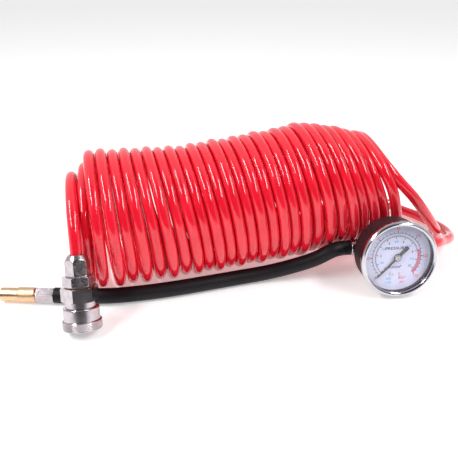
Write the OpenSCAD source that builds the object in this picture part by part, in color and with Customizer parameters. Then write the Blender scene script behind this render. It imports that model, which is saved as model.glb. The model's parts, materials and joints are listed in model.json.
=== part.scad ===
// Recoil air line for an air compressor: a red spiral hose with a quick
// coupler on one end and, on the other, a tee that carries a pressure gauge
// and a short black hose with a screw-on tyre chuck.

/* [Recoil hose] */
// Outside diameter of the red recoil hose
hose_d = 8; // [7.5:0.5:8.5]
// Outside radius of the coil at its left end
coil_r_left = 49.5; // [48:0.5:51]
// Outside radius of the coil at its waist, a third of the way along
coil_r_waist = 47; // [46:0.5:48]
// Outside radius of the coil where it is fullest
coil_r_full = 49; // [48:0.5:51]
// Outside radius of the coil at its right end
coil_r_right = 46; // [43:0.5:47]
// Length of the tight turns along the coil
coil_len = 197.5; // [185:0.5:198]
// Height of the coil's lowest point at its right end
coil_lift = 10; // [7:0.5:12]

/* [Black hose] */
// Outside diameter of the black rubber hose
rubber_d = 11; // [10:0.5:11.5]
// Across the corners of the chuck's crimp ferrule
ferrule_ac = 11.4; // [10.8:0.1:12]
// Length of the chuck's crimp ferrule
ferrule_len = 12.5; // [10:0.5:14]
// Radius of the tee's crimp ferrule
tee_ferrule_r = 6; // [5.7:0.1:6.2]

/* [Pressure gauge] */
// Outside diameter of the gauge's chrome bezel
bezel_d = 55; // [53:0.5:56]
// Outside diameter of the gauge's case
case_d = 52; // [51:0.5:52.5]
// Depth of the gauge from its back to the front of its bezel
gauge_depth = 25; // [24.5:0.5:28]
// Wall of the gauge's case
case_wall = 1.2; // [0.8:0.1:1.5]
// Rounding of the case's back edge
case_round = 3; // [1.5:0.5:4]
// Thickness of the lens
lens_t = 1.3; // [1:0.1:1.8]
// Thickness of the dial plate
dial_t = 0.6; // [0.4:0.1:0.8]
// Radius of the needle's tip, from the dial's centre
needle_r = 20.5; // [17:0.5:21.5]
// Sweep of the needle, in degrees
sweep = 270; // [240:5:270]

/* [Gauge movement] */
// Module of the pinion and the sector
gear_m = 0.3; // [0.28:0.01:0.31]
// Teeth of the pinion
pinion_z = 12; // [12:1:13]
// Teeth that the sector would have as a full wheel
sector_z = 84; // [80:1:86]
// Radius of the Bourdon tube's centreline
bourdon_r = 21.2; // [21:0.1:21.6]
// Width of the Bourdon tube, along the gauge's depth
bourdon_w = 7; // [5:0.5:7.5]

/* [Quick coupler] */
// Diameter of the sleeve's knurled flange
flange_d = 25.5; // [25:0.5:28]
// Diameter of the sleeve above its flange
sleeve_d = 23.3; // [22.8:0.1:24.5]
// Length of the sleeve
sleeve_len = 15; // [14.5:0.5:16]
// Travel of the sleeve
sleeve_travel = 3.5; // [2.5:0.5:3.5]
// Diameter of the neck that the sleeve slides over
neck_d = 19.4; // [18.8:0.1:19.8]
// Across the flats of the body's hexagon
body_af = 21; // [20.5:0.5:22]
// Length of the body's hexagon
body_hex_len = 9.3; // [8.5:0.1:12]
// Across the flats of the adapter's hexagon
adapter_af = 18.3; // [17.5:0.1:19]
// Length of the adapter's hexagon
adapter_len = 6.4; // [5:0.1:8]
// Across the flats of the compression nut
nut_af = 14.2; // [13.6:0.1:15]
// Length of the compression nut
nut_len = 13.6; // [13:0.1:16]
// Radius of the bore that seals on the plug's nose
plug_bore_r = 4.6; // [4.4:0.1:4.7]
// Length of the bore that seals on the plug's nose
plug_bore_len = 5; // [4:0.5:6]
// Radius of a lock ball
ball_r = 1.5; // [1.3:0.1:1.5]

/* [Tyre chuck] */
// Diameter of the chuck's body
chuck_d = 10.6; // [10.4:0.1:11]
// Length of the chuck's body
chuck_len = 25; // [23:0.5:28]
// Radius of the thread that screws on a tyre valve
valve_thread_r = 3.85; // [3.8:0.05:3.9]
// Length of that thread
valve_thread_len = 8; // [6:0.5:9]

/* [Hidden] */
$fn = 72;
running = 0.05;
free_gap = 0.3;
flange_bevel = 1.4;
hose_r = hose_d / 2;
rubber_r = rubber_d / 2;
slip = 0.1;

// Whole line: the coil's left end sits at x = coil_x, its axis rises to the right.
origin_shift = [-71.6, 48.6, 0];
coil_x = -6.5;
coil_z_left = coil_r_left;
coil_z_right = coil_r_right + coil_lift;
coil_wall = hose_d + 0.6;
coil_tilt = atan((coil_z_right - coil_z_left) / coil_len);

// Places and tilts of the three groups of fittings.
coupler_lean = 19;
coupler_side = 1.8;
coupler_at = [-25, -67.8, (flange_d / 2 - flange_bevel) * sin(coupler_lean)];
gauge_turn = -8.3;
gauge_lean = 10.9;
gauge_back_z = (case_d / 2 - case_round) * cos(gauge_lean) + case_round * (1 - sin(gauge_lean));
gauge_at = [196.2, -56.2, gauge_back_z];
chuck_turn = 16.6;
chuck_at = [-42.4, -25.9, ferrule_ac / 2];

// Lengths along the gauge's axis, from the back of its case.
case_rim = gauge_depth - 4.2;
gasket_t = 0.5;
lens_z = case_rim + gasket_t;
bezel_lip_z = lens_z + lens_t;
bezel_back = gauge_depth - 10;
dial_z = gauge_depth - 8.5;
needle_z = dial_z + dial_t + 1.4;
needle_t = 0.5;
case_ir = case_d / 2 - case_wall;
dial_r = case_ir - 0.2;
back_t = 1.5;

// Lengths of the movement, between its two plates.
plate_t = 1;
back_plate_z = 6;
front_plate_z = 13;
pinion_r = gear_m * pinion_z / 2;
sector_r = gear_m * sector_z / 2;
pivot_y = -(pinion_r + sector_r);
gear_ratio = sector_z / pinion_z;
sector_sweep = sweep / gear_ratio;
arbor_r = 0.8;
pinion_at_z = 8.6;
pinion_len = 2.4;
sector_at_z = 9.2;
sector_t = 1.2;
link_z = 10.8;
link_t = 0.6;
spring_at_z = 12;
tail_r = 4.5;
link_len = 6.9;
link_dir = 230.6;
screw_at = [[-3.4, -12.2], [3.4, -12.2]];
pillars = [[-6.2, 2.8], [6.2, 2.8], [6.3, -15.6]];

// Tee behind the gauge: its run crosses the gauge's axis here.
tee_z = -9.5;
tee_r = 6.5;
tee_half = 12;
tee_end = tee_half + nut_len;
stem_r = 4.8;
stem_hex = 2.8;
stem_end = tee_z + 3;

// Lengths along the coupler, from its mouth.
barrel_r = 7.5;
barrel_z = 0.8;
throat_r = 5.2;
ball_z = 4.6;
ball_count = 4;
ball_rest_r = barrel_r + slip - ball_r - running;
ball_lift = 0.7;
ring_z = 1.5;
seal_z = 8;
seal_len = 1.8;
seal_groove_r = 6.1;
bore_z = seal_z + seal_len;
seat_z = bore_z + plug_bore_len;
neck_z = sleeve_len - 1.3;
body_z = sleeve_len + 4;
adapter_z = body_z + body_hex_len;
washer_t = 0.6;
nut_z = adapter_z + washer_t + adapter_len;
coupler_len = nut_z + nut_len;
chamber_r = 6.2;
thread_r = 7;
thread_len = 6;
sleeve_shoulder_z = 7;
air_r = 1.6;

// Lengths along the chuck, from its mouth.
cavity_r = valve_thread_r + 0.4;
washer_len = 1.6;
collar_z = valve_thread_len + washer_len + 0.1;
collar_len = 2.8;
swivel_neck_r = 2.9;
barb_len = 14;
ferrule_z = chuck_len + free_gap;
hose_end_z = ferrule_z + ferrule_len;

red = [0.90, 0.10, 0.17];
rubber = [0.06, 0.055, 0.06];
chrome = [0.80, 0.77, 0.78];
brass = [0.86, 0.70, 0.46];
steel = [0.70, 0.70, 0.72];

// ---------- placing ----------
module whole() {
    translate(origin_shift) children();
}

module at_coupler() {
    whole() translate(coupler_at) rotate([-coupler_lean, coupler_side, 0]) children();
}

// The gauge's own axis runs along local z, towards the reader; local y is up on the dial.
module at_gauge() {
    whole() translate(gauge_at) rotate([0, 0, gauge_turn]) rotate([90 - gauge_lean, 0, 0]) children();
}

// The chuck's mouth is at local z = 0 and its hose leaves towards +z.
module at_chuck() {
    whole() translate(chuck_at) rotate([0, 0, -chuck_turn]) rotate([0, 90, 0])
        translate([0, 0, -hose_end_z]) children();
}

// The tee's run lies along the gauge's local x; local z here points to the right.
module at_tee_right() {
    at_gauge() translate([0, 0, tee_z]) rotate([0, 90, 0]) children();
}

module at_tee_left() {
    at_gauge() translate([0, 0, tee_z]) rotate([0, -90, 0]) children();
}

// ---------- small shapes ----------
module ring(r_out, r_in, h, z = 0) {
    translate([0, 0, z]) difference() {
        cylinder(r = r_out, h = h);
        translate([0, 0, -1]) cylinder(r = r_in, h = h + 2);
    }
}

module torus(r_mean, r_wire, z) {
    translate([0, 0, z]) rotate_extrude() translate([r_mean, 0]) circle(r = r_wire, $fn = 24);
}

// A hexagonal bar whose corners are chamfered at the ends that are asked for.
module hex_bar(af, h, z = 0, low = 0.6, high = 0.6, turn = 0) {
    rc = af / 2 / cos(30);
    translate([0, 0, z]) intersection() {
        rotate([0, 0, turn]) linear_extrude(h) circle(r = rc, $fn = 6);
        rotate_extrude() polygon([[0, 0], [rc + 0.02 - low, 0], [rc + 0.02, low * 0.7],
            [rc + 0.02, h - high * 0.7], [rc + 0.02 - high, h], [0, h]]);
    }
}

// ---------- swept tubes ----------
function unit(v) = v / norm(v);
function cr(p, i) = p[max(0, min(len(p) - 1, i))];
// A point of the smooth curve through the route, between its points i and i + 1.
function along(p, i, t) = 0.5 * (2 * cr(p, i) + (cr(p, i + 1) - cr(p, i - 1)) * t
    + (2 * cr(p, i - 1) - 5 * cr(p, i) + 4 * cr(p, i + 1) - cr(p, i + 2)) * t * t
    + (3 * cr(p, i) - cr(p, i - 1) - 3 * cr(p, i + 1) + cr(p, i + 2)) * t * t * t);
function side(d) = abs(d[0]) > 0.8 ? unit(cross(d, [0, 1, 0])) : unit(cross(d, [1, 0, 0]));
// Carries the section's first axis along without twisting it.
function frames(p, i = 0, u = undef) = let (
        d = unit(cr(p, i + 1) - cr(p, i - 1)),
        a = u == undef ? side(d) : unit(u - d * (u * d)))
    i == len(p) ? [] : concat([[p[i], a, cross(d, a)]], frames(p, i + 1, a));

module tube(points, r, sides = 10) {
    f = frames(points);
    n = len(f);
    pts = [for (q = f, k = [0:sides - 1])
        q[0] + r * (cos(360 * k / sides) * q[1] + sin(360 * k / sides) * q[2])];
    walls = [for (i = [0:n - 2], k = [0:sides - 1]) let (k2 = (k + 1) % sides)
        [i * sides + k, i * sides + k2, (i + 1) * sides + k2, (i + 1) * sides + k]];
    polyhedron(pts, concat([[for (k = [sides - 1:-1:0]) k]], walls,
        [[for (k = [0:sides - 1]) (n - 1) * sides + k]]), convexity = 6);
}

// Where the hose leaves the coupler's nut and the tee, and the black hose its ferrules.
function leaned(v, back, side_tilt) = let (
        a = [v[0], v[1] * cos(back) + v[2] * sin(back), v[2] * cos(back) - v[1] * sin(back)])
    [a[0] * cos(side_tilt) + a[2] * sin(side_tilt), a[1],
        a[2] * cos(side_tilt) - a[0] * sin(side_tilt)];
function from_gauge(v) = let (
        y = v[1] * sin(gauge_lean) - v[2] * cos(gauge_lean),
        z = v[1] * cos(gauge_lean) + v[2] * sin(gauge_lean))
    gauge_at + [v[0] * cos(gauge_turn) - y * sin(gauge_turn),
        v[0] * sin(gauge_turn) + y * cos(gauge_turn), z];
nut_dir = leaned([0, 0, 1], coupler_lean, coupler_side);
nut_top = coupler_at + coupler_len * nut_dir;
tee_right = from_gauge([tee_end, 0, tee_z]);
tee_left = from_gauge([-tee_end, 0, tee_z]);
run_dir = [cos(gauge_turn), sin(gauge_turn), 0];
chuck_dir = [cos(chuck_turn), -sin(chuck_turn), 0];

left_route = concat([nut_top, nut_top + 9 * nut_dir], [
    [-23, -38.5, 72], [-22.5, -25, 80], [-22, -8, 83], [-21.5, 10, 79], [-21, 27, 67],
    [-20.5, 37, 49], [-20, 34, 27], [-19, 20, 10.5], [-18.3, 0, 4.4], [-17.5, -20, 9.5],
    [-17, -36, 26], [-16.5, -42.5, 47], [-16, -37, 67], [-14.5, -22, 82], [-13, -3, 87],
    [-12, 16, 82.5], [-11.5, 34, 67], [-11, 41, 47], [-10.7, 36, 25], [-10.6, 21, 9.5],
    [-9.5, 3, 4.3]]);
right_route = concat([
    [193, 20, 92], [198, 37, 77], [203.5, 45, 54], [212, 41, 30], [226, 26, 11], [243, 5, 4.6],
    [255, -15, 8.5], [253, -30, 19.5], [243, -38.5, 31], [232, -43, 44], [219.5, -43.5, 59],
    [209, -39.5, 70.5], [201, -31, 81], [198, -14, 89], [199, 6, 91], [202, 24, 85],
    [209, 40, 69], [219, 50, 49], [233, 55, 29], [248, 54, 13], [263, 45, 5.4],
    [273, 29, 4.3], [278, 9, 4.8], [276, -12, 8], [267, -30, 12.5], [252, -42, 17.5]],
    [tee_right + 13 * run_dir, tee_right]);
black_route = concat([tee_left, tee_left - 4 * run_dir], [
    [159.8, -44.7, 24], [145.9, -42.6, 17.2], [129.2, -38.6, 10.9], [110.7, -36, 6.9],
    [90, -35.5, 5.6], [66, -37, 5.6],
    [42, -38.3, 5.6], [18, -38.3, 5.6], [-4, -36.3, 5.6]],
    [chuck_at + 12 * chuck_dir, chuck_at]);
function halved(p) = [for (i = [0:2 * (len(p) - 1)])
    i % 2 == 0 ? p[i / 2] : along(p, (i - 1) / 2, 0.5)];

// ---------- hoses ----------
// The tight turns as one hollow barrel, which the hose's own turns fill.
module recoil_coil() {
    outline = [[coil_r_left, 0], [coil_r_waist, coil_len / 3], [coil_r_full, coil_len * 0.8],
        [coil_r_right, coil_len]];
    inside = [for (i = [len(outline) - 1:-1:0]) outline[i] - [coil_wall, 0]];
    color(red) whole() translate([coil_x, 0, coil_z_left]) rotate([0, 90 - coil_tilt, 0])
        rotate_extrude($fn = 96) polygon(concat(outline, inside));
}

module hose_tail_left() {
    color(red) whole() tube(left_route, hose_r);
}

module hose_tail_right() {
    color(red) whole() tube(right_route, hose_r);
}

module black_hose() {
    color(rubber) whole() tube(halved(black_route), rubber_r, 12);
}

// ---------- nut shared by the coupler and the tee ----------
module clamp_nut(z) {
    rc = nut_af / 2 / cos(30);
    translate([0, 0, z]) difference() {
        intersection() {
            rotate([0, 0, 12]) linear_extrude(nut_len) circle(r = rc, $fn = 6);
            rotate_extrude() polygon([[0, 0], [rc - 0.4, 0], [rc + 0.02, 0.6],
                [rc + 0.02, nut_len - 4.2], [hose_r + 1.5, nut_len], [0, nut_len]]);
        }
        translate([0, 0, -1]) cylinder(r = 5.45, h = 8.5);
        translate([0, 0, 7.49]) cylinder(r1 = 5.45, r2 = hose_r + 0.15, h = 2);
        translate([0, 0, 9]) cylinder(r = hose_r + 0.15, h = nut_len);
    }
}

// ---------- quick coupler ----------
module compression_nut() {
    color(chrome) at_coupler() clamp_nut(nut_z);
}

module hose_adapter() {
    z1 = adapter_z + washer_t;
    color(chrome) at_coupler() difference() {
        union() {
            translate([0, 0, adapter_z - thread_len]) cylinder(r = thread_r, h = thread_len + washer_t + 1);
            hex_bar(adapter_af, adapter_len, z1, 0.6, 0.6, 4);
            translate([0, 0, z1 + adapter_len - 1]) cylinder(r = 5.4, h = 7.6);
            translate([0, 0, nut_z]) cylinder(r = 2.5, h = nut_len - 0.6);
        }
        translate([0, 0, adapter_z - thread_len - 1]) cylinder(r = air_r, h = 60);
        translate([0, 0, adapter_z - thread_len - 0.01]) cylinder(r = 3, h = 3.5);
    }
}

module adapter_washer() {
    color([0.55, 0.36, 0.24]) at_coupler() ring(adapter_af / 2 - 0.5, thread_r + slip, washer_t, adapter_z);
}

module coupler_body() {
    color(chrome) at_coupler() difference() {
        union() {
            translate([0, 0, barrel_z]) cylinder(r = barrel_r, h = neck_z);
            translate([0, 0, neck_z]) cylinder(r = neck_d / 2, h = body_z - neck_z + 1);
            hex_bar(body_af, body_hex_len, body_z, 1.1, 1.1, 8);
        }
        translate([0, 0, -1]) cylinder(r = throat_r, h = seal_z + 1);
        translate([0, 0, seal_z]) cylinder(r = seal_groove_r, h = seal_len);
        translate([0, 0, seal_z]) cylinder(r = plug_bore_r, h = seat_z - seal_z + 1);
        translate([0, 0, seat_z]) cylinder(r = chamber_r, h = adapter_z - seat_z);
        translate([0, 0, adapter_z - thread_len]) cylinder(r = thread_r, h = thread_len + 1);
        ring(barrel_r + 1, barrel_r - 0.8, 0.8, ring_z);
        for (i = [0:ball_count - 1])
            rotate([0, 0, 360 * i / ball_count + 45]) translate([0, 0, ball_z]) rotate([0, 90, 0])
                cylinder(r = ball_r + running, h = barrel_r + 2);
    }
}

// The sleeve holds the balls in; its bell frees them when it is pulled back.
module coupler_sleeve() {
    ramp = ball_lift / sleeve_travel;
    r_in = barrel_r + slip;
    color(chrome) at_coupler() rotate_extrude(convexity = 6) polygon([
        [r_in + ramp * ball_z + 0.7, 0], [flange_d / 2 - flange_bevel, 0], [flange_d / 2 - 0.4, 0.6],
        [flange_d / 2, 1.8], [flange_d / 2, 6], [flange_d / 2 - 0.5, 6.6], [sleeve_d / 2, 6.7],
        [sleeve_d / 2, sleeve_len - 0.7], [sleeve_d / 2 - 0.7, sleeve_len],
        [neck_d / 2 + running, sleeve_len], [neck_d / 2 + running, sleeve_shoulder_z],
        [r_in, sleeve_shoulder_z], [r_in, ball_z], [r_in + ramp * (ball_z - 0.6), 0.6]]);
}

// Flat wire turns between the sleeve's shoulder and the body's neck.
module sleeve_spring() {
    gap = neck_z - sleeve_shoulder_z;
    color(steel) at_coupler() for (i = [0:3])
        torus((barrel_r + neck_d / 2) / 2 + 0.05, 0.45, sleeve_shoulder_z + 0.47 + i * (gap - 0.94) / 3);
}

module retaining_ring() {
    color(steel) at_coupler() difference() {
        ring(barrel_r + 0.45, barrel_r - 0.75, 0.7, ring_z + 0.05);
        translate([0, -1, ring_z - 1]) cube([12, 2, 3]);
    }
}

module lock_ball(i) {
    color(steel) at_coupler() rotate([0, 0, 360 * i / ball_count + 45])
        translate([ball_rest_r, 0, ball_z]) sphere(r = ball_r, $fn = 36);
}

module lock_ball_1() {
    lock_ball(0);
}

module lock_ball_2() {
    lock_ball(1);
}

module lock_ball_3() {
    lock_ball(2);
}

module lock_ball_4() {
    lock_ball(3);
}

module plug_seal() {
    color(rubber) at_coupler() torus(plug_bore_r + 0.77, 0.7, seal_z + seal_len / 2);
}

module valve_seal() {
    color(rubber) at_coupler() ring(chamber_r - 0.7, 2, 0.8, seat_z + 0.02);
}

module valve_poppet() {
    color(brass) at_coupler() union() {
        translate([0, 0, seat_z + 0.02]) cylinder(r = 2, h = 0.9);
        translate([0, 0, seat_z + 0.82]) cylinder(r = chamber_r - 0.6, h = 1.2);
        translate([0, 0, seat_z + 1.8]) cylinder(r = 1.3, h = 3.6);
    }
}

module valve_spring() {
    z0 = seat_z + 2.4;
    z1 = adapter_z - thread_len - 0.4;
    color(steel) at_coupler() for (i = [0:3])
        torus(4.3, 0.35, z0 + i * (z1 - z0) / 3);
}

// ---------- gauge, outside ----------
module gauge_case() {
    r = case_d / 2;
    color([0.10, 0.05, 0.06]) at_gauge() difference() {
        rotate_extrude($fn = 120) union() {
            difference() {
                union() {
                    translate([0, case_round]) square([r, case_rim - case_round]);
                    square([r - case_round, case_rim]);
                    translate([r - case_round, case_round]) circle(r = case_round, $fn = 48);
                }
                translate([0, back_t]) square([case_ir, case_rim]);
                translate([-9, -1]) square([9, 60]);
            }
        }
        translate([0, 0, -1]) cylinder(r = 6.1, h = 4);
    }
}

module gauge_bezel() {
    r = bezel_d / 2;
    lip_r = case_ir - 0.6;
    color(chrome) at_gauge() rotate_extrude($fn = 120) polygon([
        [case_d / 2 + running, bezel_back], [r - 0.9, bezel_back], [r - 0.3, bezel_back + 0.4],
        [r, bezel_back + 1.3], [r, gauge_depth - 2], [r - 0.3, gauge_depth - 0.9],
        [r - 1, gauge_depth - 0.2], [r - 1.8, gauge_depth], [lip_r + 0.4, gauge_depth - 0.3],
        [lip_r, gauge_depth - 0.8], [lip_r, bezel_lip_z + 0.02], [case_d / 2 + running, bezel_lip_z + 0.02]]);
}

module lens_gasket() {
    color(rubber) at_gauge() ring(case_d / 2 - 0.1, case_ir - 0.4, gasket_t, case_rim);
}

module gauge_lens() {
    color([0.9, 0.95, 1, 0.3]) at_gauge() translate([0, 0, lens_z]) cylinder(r = case_d / 2 - 0.1, h = lens_t, $fn = 120);
}

module gauge_dial() {
    color([0.84, 0.84, 0.92]) at_gauge() difference() {
        translate([0, 0, dial_z]) cylinder(r = dial_r, h = dial_t, $fn = 120);
        translate([0, 0, dial_z - 1]) cylinder(r = 2, h = 4);
        for (s = screw_at) translate([s[0], s[1], dial_z - 1]) cylinder(r = 0.85, h = 4);
    }
}

module dial_screw(i) {
    color(steel) at_gauge() translate([screw_at[i][0], screw_at[i][1], 0]) difference() {
        union() {
            translate([0, 0, dial_z + dial_t]) cylinder(r = 1.45, h = 0.7);
            translate([0, 0, dial_z - 1.5]) cylinder(r = 0.8, h = dial_t + 1.6);
        }
        translate([-2, -0.2, dial_z + dial_t + 0.4]) cube([4, 0.4, 1]);
    }
}

module dial_screw_1() {
    dial_screw(0);
}

module dial_screw_2() {
    dial_screw(1);
}

needle_rest = 90 + sweep / 2;
stop_r = 11;

module needle_stop() {
    a = needle_rest + asin(1.15 / stop_r);
    color(steel) at_gauge() rotate([0, 0, a]) translate([stop_r, 0, dial_z + dial_t])
        cylinder(r = 0.5, h = 2.4, $fn = 24);
}

// A blade with a point at one end and a wide blunt tail at the other.
module gauge_needle() {
    color([0.12, 0.10, 0.12]) at_gauge() rotate([0, 0, needle_rest]) difference() {
        translate([0, 0, needle_z]) linear_extrude(needle_t) union() {
            polygon([[0, -0.75], [needle_r - 3, -0.45], [needle_r, -0.12], [needle_r, 0.12],
                [needle_r - 3, 0.45], [0, 0.75], [-2, 0.9], [-9.5, 1.5], [-10.6, 0.9],
                [-10.6, -0.9], [-9.5, -1.5], [-2, -0.9]]);
            circle(r = 2.7);
        }
        translate([0, 0, needle_z - 1]) cylinder(r = arbor_r, h = 4);
    }
}

module needle_hub() {
    color(brass) at_gauge() difference() {
        translate([0, 0, needle_z + needle_t]) cylinder(r1 = 2, r2 = 1.7, h = 0.9);
        translate([0, 0, needle_z]) cylinder(r = arbor_r, h = needle_t + 0.5);
    }
}

// ---------- gauge movement ----------
// Angle, in degrees, whose involute has grown by the roll angle a.
function inv(a) = tan(a) * 180 / PI - a;
// Half the angle of a tooth of z teeth at radius r, thinned by the backlash.
function tooth_half(z, r, backlash) = let (
        rp = gear_m * z / 2,
        rb = rp * cos(20),
        a = r <= rb ? 0 : acos(rb / r))
    (PI * gear_m / 2 - backlash) / (2 * rp) * 180 / PI + inv(20) - inv(a);
// One tooth about the x axis, from inside the root to the tip.
module tooth(z, root, tip, backlash) {
    radii = [for (i = [0:4]) max(root, gear_m * z / 2 * cos(20)) * (1 - i / 4) + tip * i / 4];
    flank = concat([[root - 0.2, tooth_half(z, root, backlash)]],
        [for (r = radii) [r, tooth_half(z, r, backlash)]]);
    polygon(concat([for (q = flank) [q[0] * cos(q[1]), q[0] * sin(q[1])]],
        [for (i = [len(flank) - 1:-1:0]) [flank[i][0] * cos(flank[i][1]), -flank[i][0] * sin(flank[i][1])]]));
}

module pinion_arbor() {
    root = pinion_r - 1.2 * gear_m;
    color(brass) at_gauge() union() {
        translate([0, 0, back_plate_z - 0.3]) cylinder(r = arbor_r, h = needle_z + needle_t + 0.4 - back_plate_z);
        translate([0, 0, pinion_at_z]) linear_extrude(pinion_len) union() {
            circle(r = root, $fn = 48);
            for (i = [0:pinion_z - 1]) rotate(90 + 360 * (i + 0.5) / pinion_z + 180)
                tooth(pinion_z, root, pinion_r + gear_m * 0.8, 0.05);
        }
    }
}

// A flat spiral that takes up the play of the teeth.
module hairspring() {
    turns = 3;
    steps = 90;
    function at(i, off) = let (a = 360 * turns * i / steps, r = 1.5 + 3.2 * i / steps + off)
        [r * cos(a), r * sin(a)];
    color(brass) at_gauge() translate([0, 0, spring_at_z]) union() {
        ring(1.6, arbor_r, 0.6);
        linear_extrude(0.5) polygon(concat([for (i = [0:steps]) at(i, -0.1)],
            [for (i = [steps:-1:0]) at(i, 0.1)]));
    }
}

// At rest the sector is turned to the end of its teeth where the needle reads zero.
module sector_gear() {
    pitch = 360 / sector_z;
    half = ceil(sector_sweep / 2 / pitch) + 1;
    root = sector_r - 1.2 * gear_m;
    span = (half + 0.5) * pitch;
    color(brass) at_gauge() translate([0, pivot_y, 0]) rotate([0, 0, 90 - sector_sweep / 2]) union() {
        translate([0, 0, back_plate_z - 0.3]) cylinder(r = arbor_r, h = front_plate_z + plate_t + 0.6 - back_plate_z);
        translate([0, 0, sector_at_z]) linear_extrude(sector_t) union() {
            difference() {
                intersection() {
                    circle(r = root, $fn = 180);
                    polygon([[0, 0], 20 * [cos(span), sin(span)], [20, 0], 20 * [cos(span), -sin(span)]]);
                }
                difference() {
                    intersection() {
                        circle(r = root - 1.6, $fn = 120);
                        polygon([[0, 0], 20 * [cos(span - 7), sin(span - 7)], [20, 0],
                            20 * [cos(span - 7), -sin(span - 7)]]);
                    }
                    circle(r = 3.6);
                    translate([0, -0.6]) square([20, 1.2]);
                }
            }
            for (i = [-half:half]) rotate(i * pitch + sector_phase()) tooth(sector_z, root, sector_r + gear_m * 0.8, 0.05);
            circle(r = 2);
            rotate(90) translate([0, -0.9]) square([tail_r, 1.8]);
            rotate(90) translate([tail_r, 0]) circle(r = 0.9, $fn = 32);
        }
        rotate([0, 0, 90]) translate([tail_r, 0, sector_at_z]) cylinder(r = 0.5, h = link_z + link_t + 0.3 - sector_at_z, $fn = 24);
    }
}

// Turns the teeth so that one stands on the line of centres at rest.
function sector_phase() = let (pitch = 360 / sector_z, a = sector_sweep / 2)
    a - pitch * floor(a / pitch);

// The link hangs on the sector's tail; its far eye is the open pivot at the tube's tip.
module tip_link() {
    tail = [tail_r * cos(180 - sector_sweep / 2), pivot_y + tail_r * sin(180 - sector_sweep / 2)];
    color(brass) at_gauge() translate([tail[0], tail[1], link_z]) rotate([0, 0, link_dir])
        difference() {
            linear_extrude(link_t) union() {
                circle(r = 1.1, $fn = 32);
                translate([0, -0.6]) square([link_len, 1.2]);
                translate([link_len, 0]) circle(r = 1, $fn = 32);
            }
            translate([0, 0, -1]) cylinder(r = 0.55, h = 3, $fn = 24);
            translate([link_len, 0, -1]) cylinder(r = 0.5, h = 3, $fn = 24);
        }
}

module movement_plate(z) {
    translate([0, 0, z]) difference() {
        translate([-7.5, -17.3, 0]) cube([15, 21.5, plate_t]);
        translate([0, 0, -1]) cylinder(r = arbor_r + running, h = 4);
        translate([0, pivot_y, -1]) cylinder(r = arbor_r + running, h = 4);
    }
}

module movement_plate_front() {
    color(brass) at_gauge() movement_plate(front_plate_z);
}

module movement_plate_back() {
    color(brass) at_gauge() movement_plate(back_plate_z);
}

// Posts between the plates, and two that carry the dial's screws.
module movement_pillars() {
    z0 = back_plate_z + plate_t;
    z1 = front_plate_z + plate_t;
    color(brass) at_gauge() union() {
        for (p = pillars) translate([p[0], p[1], z0]) cylinder(r = 1.2, h = front_plate_z - z0);
        for (s = screw_at) translate([s[0], s[1], z1]) difference() {
            cylinder(r = 1.6, h = dial_z - z1);
            translate([0, 0, dial_z - z1 - 1.8]) cylinder(r = 0.8, h = 3);
        }
    }
}

// A flattened tube bent through three quarters of a circle, closed by a cap at its tip.
module bourdon_tube() {
    start = -45;
    bend = 276;
    z_mid = 8.5;
    tip = start + bend;
    color(brass) at_gauge() union() {
        rotate([0, 0, start]) rotate_extrude(angle = bend, $fn = 120) translate([bourdon_r, z_mid])
            intersection() {
                square([2.4, bourdon_w], center = true);
                circle(r = bourdon_w / 2 + 0.15, $fn = 48);
            }
        rotate([0, 0, tip]) translate([bourdon_r - 1.4, -0.5, z_mid - bourdon_w / 2]) cube([2.8, 2, bourdon_w]);
        rotate([0, 0, tip]) translate([bourdon_r - 2.1, 0, link_z + link_t + free_gap]) cube([1.6, 4.6, 0.6]);
    }
}

// Brass block that feeds the tube, with the stem that leaves through the case's back.
module gauge_socket() {
    color(brass) at_gauge() difference() {
        union() {
            translate([0, 0, -0.1]) cylinder(r = 6, h = back_t + 0.1);
            translate([0, 0, back_t]) cylinder(r = 7.5, h = back_plate_z - back_t);
            rotate([0, 0, -45]) translate([0, -3.5, back_t]) cube([22.8, 7, 3.4]);
            rotate([0, 0, -48.5]) translate([bourdon_r - 1.7, -3, back_t]) cube([3.4, 4.5, 10.6]);
            hex_bar(14, stem_hex, -stem_hex, 0.4, 0.4);
            translate([0, 0, stem_end]) cylinder(r = stem_r, h = 8);
        }
        translate([0, 0, stem_end - 1]) cylinder(r = 1.5, h = back_t + 3 - stem_end);
        translate([0, 0, back_plate_z - 0.6]) cylinder(r = 1.4, h = 2);
    }
}

// ---------- tee ----------
module tee_body() {
    color(chrome) union() {
        difference() {
            union() {
                at_tee_right() translate([0, 0, -tee_half]) cylinder(r = tee_r, h = 2 * tee_half);
                at_gauge() translate([0, 0, tee_z]) cylinder(r = 6.2, h = -stem_hex - tee_z - 0.02);
                at_tee_right() cylinder(r = 5.4, h = tee_half + 6.6);
                at_tee_right() cylinder(r = 2.5, h = tee_end - 0.6);
                at_tee_left() cylinder(r = 3.5, h = tee_end - 0.5);
            }
            at_tee_right() translate([0, 0, -tee_end - 1]) cylinder(r = air_r, h = 2 * tee_end + 2);
            at_gauge() translate([0, 0, stem_end]) cylinder(r = stem_r, h = 20);
            at_gauge() translate([0, 0, tee_z]) cylinder(r = 1.5, h = 20);
        }
    }
}

module tee_hose_nut() {
    color(chrome) at_tee_right() clamp_nut(tee_end - nut_len);
}

module tee_ferrule() {
    color(chrome) at_tee_left() difference() {
        translate([0, 0, tee_half]) rotate_extrude() polygon([[0, 0], [tee_ferrule_r, 0], [tee_ferrule_r, 2],
            [tee_ferrule_r - 0.4, 3], [tee_ferrule_r - 0.4, 4.5], [tee_ferrule_r, 5.5],
            [tee_ferrule_r, tee_end - tee_half - 0.5], [tee_ferrule_r - 0.5, tee_end - tee_half], [0, tee_end - tee_half]]);
        translate([0, 0, tee_half - 1]) cylinder(r = 3.5, h = tee_end);
    }
}

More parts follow.
